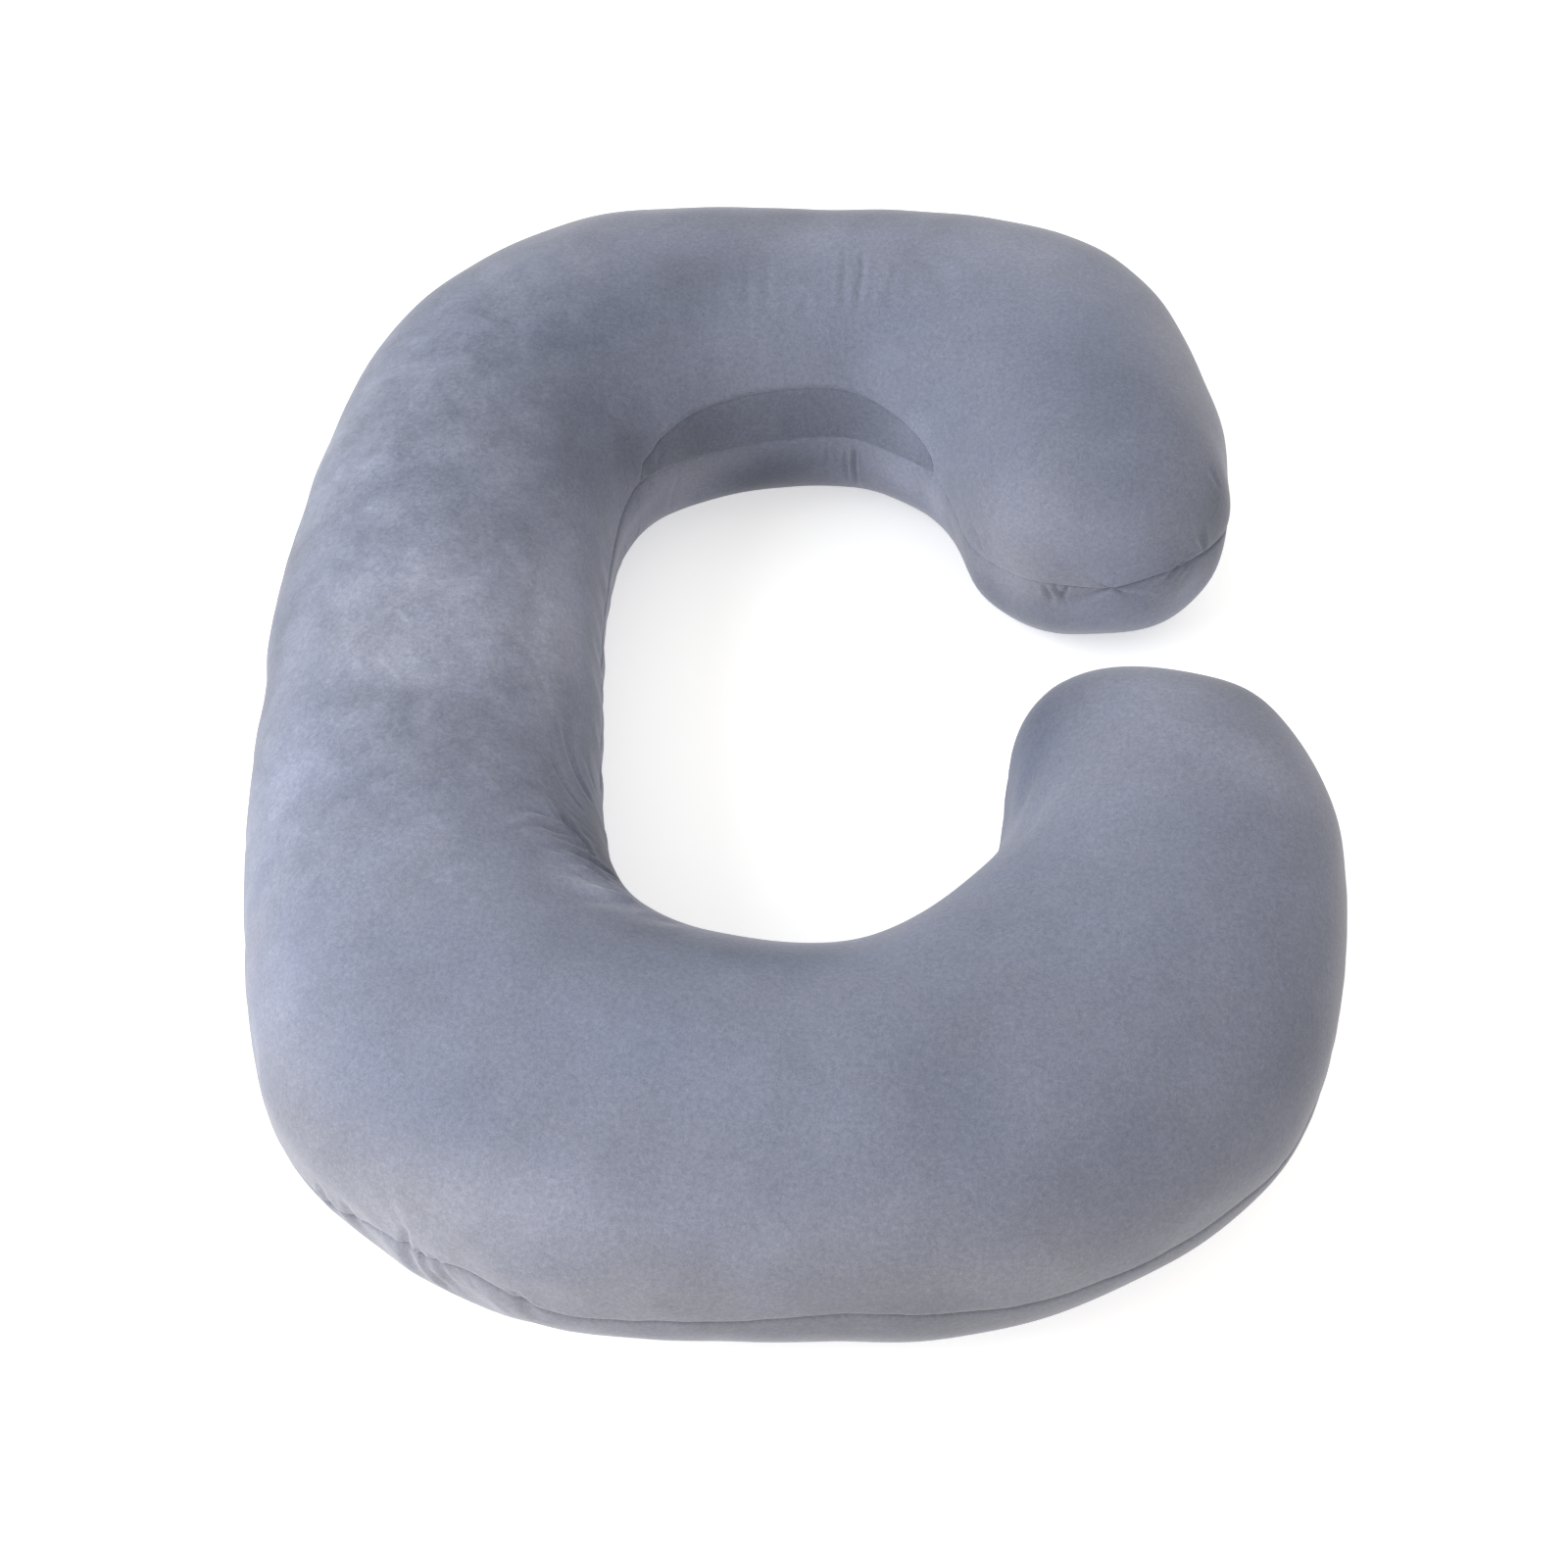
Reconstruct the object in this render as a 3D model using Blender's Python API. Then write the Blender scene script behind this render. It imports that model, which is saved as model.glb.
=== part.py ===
"""C-shaped body pillow: one filled tube that lies on its flattened underside, closed by a seam at half height,
with a crescent gusset let into the inner wall of its head bar.

Metres, +Z up. The pillow lies on z = 0 with its origin under the middle of its outline.
+X points to the open side of the C, and +Y to the head bar.

A place on the skin is given by two values: the distance along the tube's middle line from the tip of the head arm,
and an angle round the section, from the inner seam at 0 over the crown at 90 to the outer seam at 180 and back
underneath.
"""

from collections import namedtuple

import bpy
import numpy as np

# Sections across the tube, in order from the tip of the head arm round the back bar to the tip of the leg arm:
#   inner_x, inner_y    the seam on the side that faces into the C
#   outer_x, outer_y    the seam on the side that faces out
#   crown               height of the top over the floor
Section = namedtuple("Section", "inner_x inner_y outer_x outer_y crown")
SECTIONS = [
    Section(0.160, 0.105, 0.360, 0.110, 0.215),  # head arm's end
    Section(0.135, 0.205, 0.360, 0.275, 0.215),  # head arm
    Section(0.105, 0.250, 0.290, 0.460, 0.215),  # corner of the head side
    Section(0.060, 0.280, 0.150, 0.505, 0.215),
    Section(-0.005, 0.280, -0.020, 0.520, 0.210),  # head side's middle
    Section(-0.055, 0.265, -0.185, 0.510, 0.210),
    Section(-0.100, 0.235, -0.315, 0.410, 0.210),  # upper corner of the back
    Section(-0.130, 0.180, -0.370, 0.265, 0.210),
    Section(-0.140, 0.040, -0.395, 0.040, 0.210),  # back's middle
    Section(-0.125, -0.155, -0.375, -0.250, 0.210),
    Section(-0.105, -0.205, -0.325, -0.400, 0.210),  # lower corner of the back
    Section(-0.070, -0.235, -0.170, -0.505, 0.210),
    Section(-0.010, -0.255, -0.015, -0.520, 0.210),  # leg side's middle
    Section(0.045, -0.255, 0.130, -0.515, 0.210),
    Section(0.090, -0.230, 0.285, -0.445, 0.210),  # corner of the leg side
    Section(0.140, -0.180, 0.370, -0.335, 0.210),
    Section(0.165, -0.095, 0.400, -0.190, 0.210),  # leg arm
    Section(0.170, 0.005, 0.390, -0.035, 0.210),  # leg arm's end
]

# The seam between the top and bottom panels, which runs all round the tube.
SEAM_HEIGHT = 0.098
SEAM_DEPTH = 0.004
SEAM_LIP_ANGLE = 7.0

# Roundness of the filled section: 2 is an ellipse, and more is squarer.
UPPER_ROUNDNESS = 2.2
LOWER_ROUNDNESS = 2.6
SAG = 1.06  # depth that the underside would have with no floor, over the seam's height

# The closed ends of the tube.
HEAD_TIP_LENGTH = 0.085
LEG_TIP_LENGTH = 0.120
TIP_ROUNDNESS = 2.25

# Soft folds that the filling pulls into the cover:
#   along, angle            where the fold is deepest
#   half_width, half_angle  how far it reaches along the tube and round the section
#   depth                   how far it is drawn in
Fold = namedtuple("Fold", "along angle half_width half_angle depth")
FOLDS = [
    Fold(1.24, 38.0, 0.016, 55.0, 0.0035),
    Fold(1.29, 32.0, 0.014, 50.0, 0.0045),
    Fold(1.34, 42.0, 0.016, 60.0, 0.0030),
    Fold(0.365, -32.0, 0.013, 42.0, 0.0035),
]

# The crescent gusset above the seam on the head bar's inner wall.
GUSSET_START = 0.17
GUSSET_END = 0.73
GUSSET_RISE_ANGLE = 23.0
GUSSET_BLUNTNESS = 0.62  # power of the arch over the gusset: under 0.5 the ends are blunt, and at 1 they are sharp
GUSSET_END_SHARE = 0.975  # share of the half length where the point at either end is cut off
GUSSET_THICKNESS = 0.002
GUSSET_STEPS = 18
GUSSET_BANDS = 3
MIDDLE_OVER_INNER = 2.0  # length along the middle line over the length along the inner seam, about, at the gusset
GAP = 0.0004

# Faceting.
STATION_SPACING = 0.022
TIP_STEPS = 6
UPPER_STEPS = 14
LOWER_STEPS = 10

COVER_COLOUR = (0.27, 0.29, 0.38, 1.0)
GUSSET_COLOUR = (0.17, 0.18, 0.24, 1.0)
FABRIC_ROUGHNESS = 0.9


def spline_through(knots, values, at):
    """A natural cubic spline through the values at the knots, read at other places."""
    count = len(knots)
    step = np.diff(knots)
    system = np.eye(count)
    bends = np.zeros_like(values)
    for i in range(1, count - 1):
        system[i, i - 1 : i + 2] = step[i - 1], 2 * (step[i - 1] + step[i]), step[i]
        slope_before = (values[i] - values[i - 1]) / step[i - 1]
        slope_after = (values[i + 1] - values[i]) / step[i]
        bends[i] = 6 * (slope_after - slope_before)
    bends = np.linalg.solve(system, bends)
    low = np.clip(np.searchsorted(knots, at, side="right") - 1, 0, count - 2)
    span = step[low][:, None]
    left = (knots[low + 1] - at)[:, None]
    right = (at - knots[low])[:, None]
    curved = (bends[low] * left**3 + bends[low + 1] * right**3) / (6 * span)
    from_left = (values[low] / span - bends[low] * span / 6) * left
    from_right = (values[low + 1] / span - bends[low + 1] * span / 6) * right
    return curved + from_left + from_right


class Tube:
    """The two seams and the crown, read by the distance along the middle line between the seams."""

    def __init__(self, sections, samples=1200):
        self.values = np.array(sections)
        middle = (self.values[:, 0:2] + self.values[:, 2:4]) / 2
        self.knots = self.run_length(middle)
        self.fine = np.linspace(0, self.knots[-1], samples)
        curve = spline_through(self.knots, middle, self.fine)
        self.distances = self.run_length(curve)
        self.length = self.distances[-1]

    @staticmethod
    def run_length(points):
        return np.concatenate([[0], np.cumsum(np.linalg.norm(np.diff(points, axis=0), axis=1))])

    def at(self, places):
        """Middle, the vector from it to the inner seam, and the crown at these distances."""
        knots = np.interp(places, self.distances, self.fine)
        read = spline_through(self.knots, self.values, knots)
        inner, outer = read[:, 0:2], read[:, 2:4]
        return (inner + outer) / 2, (inner - outer) / 2, read[:, 4]


TUBE = Tube(SECTIONS)


def fullness(places):
    """Share of the full section at these distances: 0 at either tip, 1 between the rounded ends."""
    share = np.ones_like(places)
    for to_tip, length in ((places, HEAD_TIP_LENGTH), (TUBE.length - places, LEG_TIP_LENGTH)):
        from_full = np.clip(1 - to_tip / length, 0, 1)
        share = np.minimum(share, (1 - from_full**TIP_ROUNDNESS) ** (1 / TIP_ROUNDNESS))
    return share


def signed_power(value, power):
    return np.sign(value) * np.abs(value) ** power


def drawn_in(places, degrees):
    """How far the seam and the folds pull the skin in towards the middle of the section."""
    to_seam = np.abs((degrees + 90) % 180 - 90) / SEAM_LIP_ANGLE
    depth = SEAM_DEPTH * np.clip(1 - to_seam, 0, 1)
    for fold in FOLDS:
        along = np.clip(np.abs(places - fold.along) / fold.half_width, 0, 1)
        turn = np.abs((degrees - fold.angle + 180) % 360 - 180)
        around = np.clip(turn / fold.half_angle, 0, 1)
        depth = depth + fold.depth * (1 + np.cos(np.pi * along)) * (1 + np.cos(np.pi * around)) / 4
    return depth


def skin(places, degrees):
    """Points of the skin at pairs of a distance along the tube and an angle round the section."""
    middle, to_inner, crown = TUBE.at(places)
    half_width = np.linalg.norm(to_inner, axis=1)
    full = fullness(places)
    angle = np.radians(degrees)
    above = np.sin(angle) >= 0
    power = 2 / np.where(above, UPPER_ROUNDNESS, LOWER_ROUNDNESS)
    size = full * (1 - drawn_in(places, degrees) / half_width)
    across = size * signed_power(np.cos(angle), power)
    reach = np.where(above, crown - SEAM_HEIGHT, SEAM_HEIGHT * SAG)
    height = SEAM_HEIGHT + reach * size * signed_power(np.sin(angle), power)
    flat = middle + across[:, None] * to_inner
    return np.column_stack([flat, np.maximum(height, 0)])


def lifted(places, degrees, lift):
    """Points of the skin, moved level towards the inside of the C."""
    to_inner = TUBE.at(places)[1]
    level = to_inner / np.linalg.norm(to_inner, axis=1)[:, None]
    points = skin(places, degrees)
    points[:, :2] += lift * level
    return points


def station_places():
    """Distances of the rings: closing up on the rounded tips, close at the folds and even elsewhere."""
    turn = np.linspace(0, np.pi / 2, TIP_STEPS + 1)[1:-1]
    head = HEAD_TIP_LENGTH * (1 - np.cos(turn))
    leg = TUBE.length - LEG_TIP_LENGTH * (1 - np.cos(turn))
    first, last = HEAD_TIP_LENGTH, TUBE.length - LEG_TIP_LENGTH
    between = np.linspace(first, last, round((last - first) / STATION_SPACING) + 1)
    for fold in FOLDS:
        own = fold.along + fold.half_width * np.array([-1, -0.5, 0, 0.5, 1])
        clear = np.abs(between[:, None] - own).min(axis=1) > fold.half_width / 3
        between = np.concatenate([between[clear], own])
    return np.concatenate([head, np.sort(between), leg[::-1]])


def ring_degrees():
    """Angles of a ring's points, with a lip above and below each seam."""
    upper = np.linspace(0, 180, UPPER_STEPS + 1)
    lower = np.linspace(180, 360, LOWER_STEPS + 1)[1:-1]
    lips = [SEAM_LIP_ANGLE, 180 - SEAM_LIP_ANGLE, 180 + SEAM_LIP_ANGLE, 360 - SEAM_LIP_ANGLE]
    return np.sort(np.concatenate([upper, lower, lips]))


def grid_faces(rows, columns, closed):
    """Quads of a grid of points, its rows along the tube and its columns round it."""
    faces = []
    for i in range(rows - 1):
        for j in range(columns if closed else columns - 1):
            k = (j + 1) % columns
            faces.append((i * columns + j, i * columns + k, (i + 1) * columns + k, (i + 1) * columns + j))
    return faces


def pillow_mesh():
    """Rings along the tube, closed at the tip of each arm."""
    places, degrees = station_places(), ring_degrees()
    rows, columns = len(places), len(degrees)
    rings = skin(np.repeat(places, columns), np.tile(degrees, rows))
    tips = skin(np.array([0, TUBE.length]), np.array([90.0, 90.0]))
    faces = grid_faces(rows, columns, closed=True)
    head_tip, leg_tip = rows * columns, rows * columns + 1
    last = (rows - 1) * columns
    for j in range(columns):
        k = (j + 1) % columns
        faces.append((head_tip, k, j))
        faces.append((leg_tip, last + j, last + k))
    return np.concatenate([rings, tips]), faces


def crescent_mesh(outer_lift, inner_lift, margin):
    """A slab on the skin, from the seam up to a low arch, larger all round by the margin."""
    share = np.linspace(-GUSSET_END_SHARE, GUSSET_END_SHARE, GUSSET_STEPS + 1)
    half_length = (GUSSET_END - GUSSET_START) / 2 + margin * MIDDLE_OVER_INNER
    places = (GUSSET_END + GUSSET_START) / 2 + half_length * share
    margin_angle = np.degrees(margin / SEAM_HEIGHT)
    top = GUSSET_RISE_ANGLE * (1 - share**2) ** GUSSET_BLUNTNESS + margin_angle
    up = np.linspace(0, 1, GUSSET_BANDS + 1)
    degrees = -margin_angle + (top + margin_angle)[:, None] * up
    rows, columns = degrees.shape
    places = np.repeat(places, columns)
    outer = lifted(places, degrees.ravel(), outer_lift)
    inner = lifted(places, degrees.ravel(), inner_lift)
    count = rows * columns
    faces = grid_faces(rows, columns, closed=False)
    faces += [tuple(count + i for i in reversed(face)) for face in faces]
    rim = [j for j in range(columns)]
    rim += [i * columns + columns - 1 for i in range(1, rows)]
    rim += [count - columns + j for j in range(columns - 2, -1, -1)]
    rim += [i * columns for i in range(rows - 2, 0, -1)]
    for here, there in zip(rim, rim[1:] + rim[:1]):
        faces.append((there, here, count + here, count + there))
    return np.concatenate([outer, inner]), faces


def fabric(name, colour):
    material = bpy.data.materials.new(name)
    material.use_nodes = True
    shader = material.node_tree.nodes["Principled BSDF"]
    shader.inputs["Base Color"].default_value = colour
    shader.inputs["Roughness"].default_value = FABRIC_ROUGHNESS
    shader.inputs["Metallic"].default_value = 0.0
    return material


def add_piece(name, points, faces, material):
    mesh = bpy.data.meshes.new(name)
    mesh.from_pydata(points.tolist(), [], faces)
    mesh.materials.append(material)
    mesh.shade_smooth()
    piece = bpy.data.objects.new(name, mesh)
    bpy.context.scene.collection.objects.link(piece)
    return piece


def cut_recess(pillow, recess):
    recess.hide_render = True
    recess.display_type = "WIRE"
    cut = pillow.modifiers.new(recess.name, "BOOLEAN")
    cut.object = recess
    cut.operation = "DIFFERENCE"
    cut.solver = "EXACT"


def main():
    for old in list(bpy.data.objects):
        bpy.data.objects.remove(old)
    cover = fabric("plush_cover", COVER_COLOUR)
    gusset_cloth = fabric("gusset_cloth", GUSSET_COLOUR)

    body_points, body_faces = pillow_mesh()
    origin = (body_points.min(axis=0) + body_points.max(axis=0)) / 2
    origin[2] = 0
    pillow = add_piece("pillow_body", body_points - origin, body_faces, cover)

    points, faces = crescent_mesh(outer_lift=0, inner_lift=-GUSSET_THICKNESS, margin=0)
    add_piece("crescent_gusset", points - origin, faces, gusset_cloth)

    points, faces = crescent_mesh(outer_lift=GUSSET_THICKNESS, inner_lift=-GUSSET_THICKNESS - GAP, margin=GAP)
    cut_recess(pillow, add_piece("gusset_recess", points - origin, faces, gusset_cloth))


main()
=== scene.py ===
# C-shaped body pillow in short-pile plush: a top panel, a bottom panel and a crescent gusset,
# stuffed, with the creases, puckers and brushed nap of a pillow that has been handled.
# Metres, +Z up, on the same frame as the solids.
import math
import bpy
import numpy as np
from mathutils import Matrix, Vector


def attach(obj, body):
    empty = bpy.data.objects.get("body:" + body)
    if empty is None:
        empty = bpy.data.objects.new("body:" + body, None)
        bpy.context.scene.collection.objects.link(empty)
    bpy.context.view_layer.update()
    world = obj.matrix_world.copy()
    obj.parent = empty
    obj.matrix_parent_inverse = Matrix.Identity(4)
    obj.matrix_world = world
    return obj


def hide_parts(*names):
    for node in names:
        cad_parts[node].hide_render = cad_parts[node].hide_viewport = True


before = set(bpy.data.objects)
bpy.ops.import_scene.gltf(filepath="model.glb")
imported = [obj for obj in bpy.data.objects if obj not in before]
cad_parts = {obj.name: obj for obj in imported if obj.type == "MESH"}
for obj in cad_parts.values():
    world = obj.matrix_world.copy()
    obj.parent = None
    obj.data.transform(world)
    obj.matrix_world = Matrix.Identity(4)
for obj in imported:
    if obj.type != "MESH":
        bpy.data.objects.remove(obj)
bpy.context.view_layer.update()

# the stuffed tube that every panel lies on:
# a place on the skin is (along, angle): metres from the head arm's tip along the middle line, and degrees
# round the section from the inner seam at 0 over the crown at 90 to the outer seam at 180 and underneath
tube = {
    "sections": [  # inner seam x and y, outer seam x and y, crown height
        (0.160, 0.105, 0.360, 0.110, 0.215),  # head arm's end
        (0.135, 0.205, 0.360, 0.275, 0.215),  # head arm
        (0.105, 0.250, 0.290, 0.460, 0.215),  # corner of the head side
        (0.060, 0.280, 0.150, 0.505, 0.215),
        (-0.005, 0.280, -0.020, 0.520, 0.210),  # head side's middle
        (-0.055, 0.265, -0.185, 0.510, 0.210),
        (-0.100, 0.235, -0.315, 0.410, 0.210),  # upper corner of the back
        (-0.130, 0.180, -0.370, 0.265, 0.210),
        (-0.140, 0.040, -0.395, 0.040, 0.210),  # back's middle
        (-0.125, -0.155, -0.375, -0.250, 0.210),
        (-0.105, -0.205, -0.325, -0.400, 0.210),  # lower corner of the back
        (-0.070, -0.235, -0.170, -0.505, 0.210),
        (-0.010, -0.255, -0.015, -0.520, 0.210),  # leg side's middle
        (0.045, -0.255, 0.130, -0.515, 0.210),
        (0.090, -0.230, 0.285, -0.445, 0.210),  # corner of the leg side
        (0.140, -0.180, 0.370, -0.335, 0.210),
        (0.165, -0.095, 0.400, -0.190, 0.210),  # leg arm
        (0.170, 0.005, 0.390, -0.035, 0.210),  # leg arm's end
    ],
    "seamHeight": 0.098,
    "upperRoundness": 2.2,  # 2 is an ellipse, more is squarer
    "lowerRoundness": 2.6,
    "sag": 1.06,
    "headTip": 0.085,  # length of the rounded ends
    "legTip": 0.120,
    "tipRoundness": 2.25,
}


def splineThrough(knots, values, at):
    # natural cubic spline
    count = len(knots)
    step = np.diff(knots)
    system = np.eye(count)
    bends = np.zeros_like(values)
    for i in range(1, count - 1):
        system[i, i - 1:i + 2] = step[i - 1], 2 * (step[i - 1] + step[i]), step[i]
        before = (values[i] - values[i - 1]) / step[i - 1]
        after = (values[i + 1] - values[i]) / step[i]
        bends[i] = 6 * (after - before)
    bends = np.linalg.solve(system, bends)
    low = np.clip(np.searchsorted(knots, at, side="right") - 1, 0, count - 2)
    span = step[low][:, None]
    left = (knots[low + 1] - at)[:, None]
    right = (at - knots[low])[:, None]
    curved = (bends[low] * left**3 + bends[low + 1] * right**3) / (6 * span)
    fromLeft = (values[low] / span - bends[low] * span / 6) * left
    fromRight = (values[low + 1] / span - bends[low + 1] * span / 6) * right
    return curved + fromLeft + fromRight


def runLength(points):
    return np.concatenate([[0], np.cumsum(np.linalg.norm(np.diff(points, axis=0), axis=1))])


sections = np.array(tube["sections"])
sectionKnots = runLength((sections[:, 0:2] + sections[:, 2:4]) / 2)
fineKnots = np.linspace(0, sectionKnots[-1], 2000)
fineRead = splineThrough(sectionKnots, sections, fineKnots)
fineAlong = runLength((fineRead[:, 0:2] + fineRead[:, 2:4]) / 2)
tubeLength = fineAlong[-1]


def signedPower(value, power):
    return np.sign(value) * np.abs(value) ** power


def fullness(along):
    # 0 at either tip and 1 between the rounded ends
    share = np.ones_like(along)
    for toTip, length in ((along, tube["headTip"]), (tubeLength - along, tube["legTip"])):
        fromFull = np.clip(1 - toTip / length, 0, 1)
        share = np.minimum(share, (1 - fromFull ** tube["tipRoundness"]) ** (1 / tube["tipRoundness"]))
    return share


def smoothSkin(along, angle):
    # the full skin with no seam, crease or lump; along and angle have one shape
    shape = np.shape(along)
    flatAlong = np.clip(np.ravel(along), 0, tubeLength)
    radians = np.radians(np.ravel(angle))
    knots = np.interp(flatAlong, fineAlong, fineKnots)
    read = splineThrough(sectionKnots, sections, knots)
    middle, toInner = (read[:, 0:2] + read[:, 2:4]) / 2, (read[:, 0:2] - read[:, 2:4]) / 2
    full = fullness(flatAlong)
    above = np.sin(radians) >= 0
    power = 2 / np.where(above, tube["upperRoundness"], tube["lowerRoundness"])
    across = full * signedPower(np.cos(radians), power)
    reach = np.where(above, read[:, 4] - tube["seamHeight"], tube["seamHeight"] * tube["sag"])
    height = tube["seamHeight"] + reach * full * signedPower(np.sin(radians), power)
    plan = middle + across[:, None] * toInner - pillowCentre
    return np.column_stack([plan, np.maximum(height, 0)]).reshape(*shape, 3)


def skinNormals(along, angle):
    # straight out of the full skin, the same for every piece that meets there
    turnStep = smoothSkin(along, angle + 0.4) - smoothSkin(along, angle - 0.4)
    alongStep = smoothSkin(along + 0.0012, angle) - smoothSkin(along - 0.0012, angle)
    normals = np.cross(turnStep, alongStep)
    return normals / np.maximum(np.linalg.norm(normals, axis=-1), 1e-12)[..., None]


pillowCentre = np.zeros(2)
outline = smoothSkin(np.tile(np.linspace(0, tubeLength, 1500), 2), np.repeat([0.0, 180.0], 1500))
pillowCentre = (outline.min(axis=0) + outline.max(axis=0))[:2] / 2
print("tube is", round(tubeLength, 3), "m long along its middle")


def softNoise(points, size, seed, waves=14):
    # smooth noise of about unit height, with lumps about size across
    draw = np.random.default_rng(seed)
    total = np.zeros(points.shape[:-1])
    for _ in range(waves):
        direction = draw.normal(size=3)
        direction *= 2 * np.pi / (size * draw.uniform(1.2, 2.8) * np.linalg.norm(direction))
        total += np.sin(points @ direction + draw.uniform(0, 2 * np.pi))
    return total * math.sqrt(2 / waves)


def onOuterSide(angle):
    turn = np.mod(angle, 360)
    return (turn > 90) & (turn < 270)


def smoothStep(value):
    value = np.clip(value, 0, 1)
    return value * value * (3 - 2 * value)


def placedSum(along, angle, places):
    # soft spots on the skin: middle, reach and strength
    total = np.zeros(np.shape(along))
    for (place, turn), (reach, turnReach), strength in places:
        turnGap = np.mod(angle - turn + 180, 360) - 180
        total += strength * np.exp(-(((along - place) / reach) ** 2) - (turnGap / turnReach) ** 2)
    return total


def distanceToLine(points, line):
    # distance from each point to a polyline, and how far along it the nearest place is, 0 to 1
    best = np.full(points.shape[:-1], 1e9)
    place = np.zeros(points.shape[:-1])
    lengths = runLength(line)
    for start, end, before in zip(line[:-1], line[1:], lengths[:-1]):
        step = end - start
        share = np.clip(((points - start) @ step) / (step @ step), 0, 1)
        gap = np.linalg.norm(points - start - share[..., None] * step, axis=-1)
        nearer = gap < best
        best = np.where(nearer, gap, best)
        place = np.where(nearer, (before + share * np.linalg.norm(step)) / lengths[-1], place)
    return best, place


def crowdedPlaces(count, low, high, crowds):
    # places from low to high, closer together about each crowd: its place, reach and extra density
    fine = np.linspace(low, high, 4000)
    density = np.ones_like(fine)
    for place, reach, extra in crowds:
        density += extra * np.exp(-(((fine - place) / reach) ** 2))
    run = np.concatenate([[0], np.cumsum((density[1:] + density[:-1]) / 2)])
    return np.interp(np.linspace(0, run[-1], count), run, fine)


def tipPlaces(length, count):
    # rows that close up on a rounded tip
    return length * (1 - np.cos(np.linspace(0, np.pi / 2, count + 1)[1:-1]))


def rowPlaces(count, headRows, legRows, crowds=()):
    head = tipPlaces(tube["headTip"], headRows)
    leg = tubeLength - tipPlaces(tube["legTip"], legRows)
    between = crowdedPlaces(count, tube["headTip"], tubeLength - tube["legTip"], crowds)
    return np.concatenate([head, between, leg[::-1]])


def gridFaces(rows, columns):
    corner = np.arange((rows - 1) * columns).reshape(rows - 1, columns)[:, :-1].ravel()
    return np.column_stack([corner, corner + 1, corner + columns + 1, corner + columns])


def meshPiece(name, points, faces, moreFaces=()):
    mesh = bpy.data.meshes.new(name)
    mesh.from_pydata(points.tolist(), [], [*faces.tolist(), *moreFaces])
    mesh.shade_smooth()
    mesh.update()
    piece = bpy.data.objects.new(name, mesh)
    bpy.context.scene.collection.objects.link(piece)
    return piece


# the cover blown up by its stuffing: a coarse closed copy of the tube, held at the seam and on the floor,
# with its cloth cut too long where it gathers
stuffing = {
    "rows": 300,
    "tipRows": 9,  # on each rounded end
    "columns": 96,
    "inset": 0.0025,  # the copy starts this much inside the form
    "pressure": 4.0,
    "frames": 20,
    "quality": 5,
    "mass": 0.003,  # of the cloth between neighbouring points
    "stretch": 15.0,
    "shear": 5.0,
    "bend": 2.0,
    "slack": 0.05,  # how much too long the cloth is at full gather
    "seamGather": 0.30,  # share of it beside every seam, within seamReach
    "seamReach": 0.026,
    "gathers": [
        # (along, angle) middle, reach along the tube and in degrees, share of the slack
        ((1.34, 40), (0.080, 36), 0.40),
        ((1.42, 180), (0.090, 24), 0.60),
        ((1.93, 34), (0.070, 30), 0.12),
        ((0.02, 180), (0.060, 50), 0.40),
        ((0.02, 0), (0.040, 30), 0.30),
        ((1.60, 180), (0.070, 40), -0.40),
    ],
    "swellPasses": 16,  # smoothing that tells the broad swelling from the gathers
    "keepSwell": 0.15,  # share of the broad swelling that is kept
    "cap": 0.0030,  # no point moves further than this
}


def gatherShare(along, angle, points):
    beside = (points[..., 2] - tube["seamHeight"]) / stuffing["seamReach"]
    total = stuffing["seamGather"] * np.exp(-(beside**2)) + placedSum(along, angle, stuffing["gathers"])
    return np.clip(total, 0, 1)


def smoothedGrid(grid, passes):
    for _ in range(passes):
        grid = (np.roll(grid, 1, axis=1) + np.roll(grid, -1, axis=1) + 2 * grid) / 4
        padded = np.concatenate([grid[:1], grid, grid[-1:]])
        grid = (padded[:-2] + padded[2:] + 2 * grid) / 4
    return grid


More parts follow.
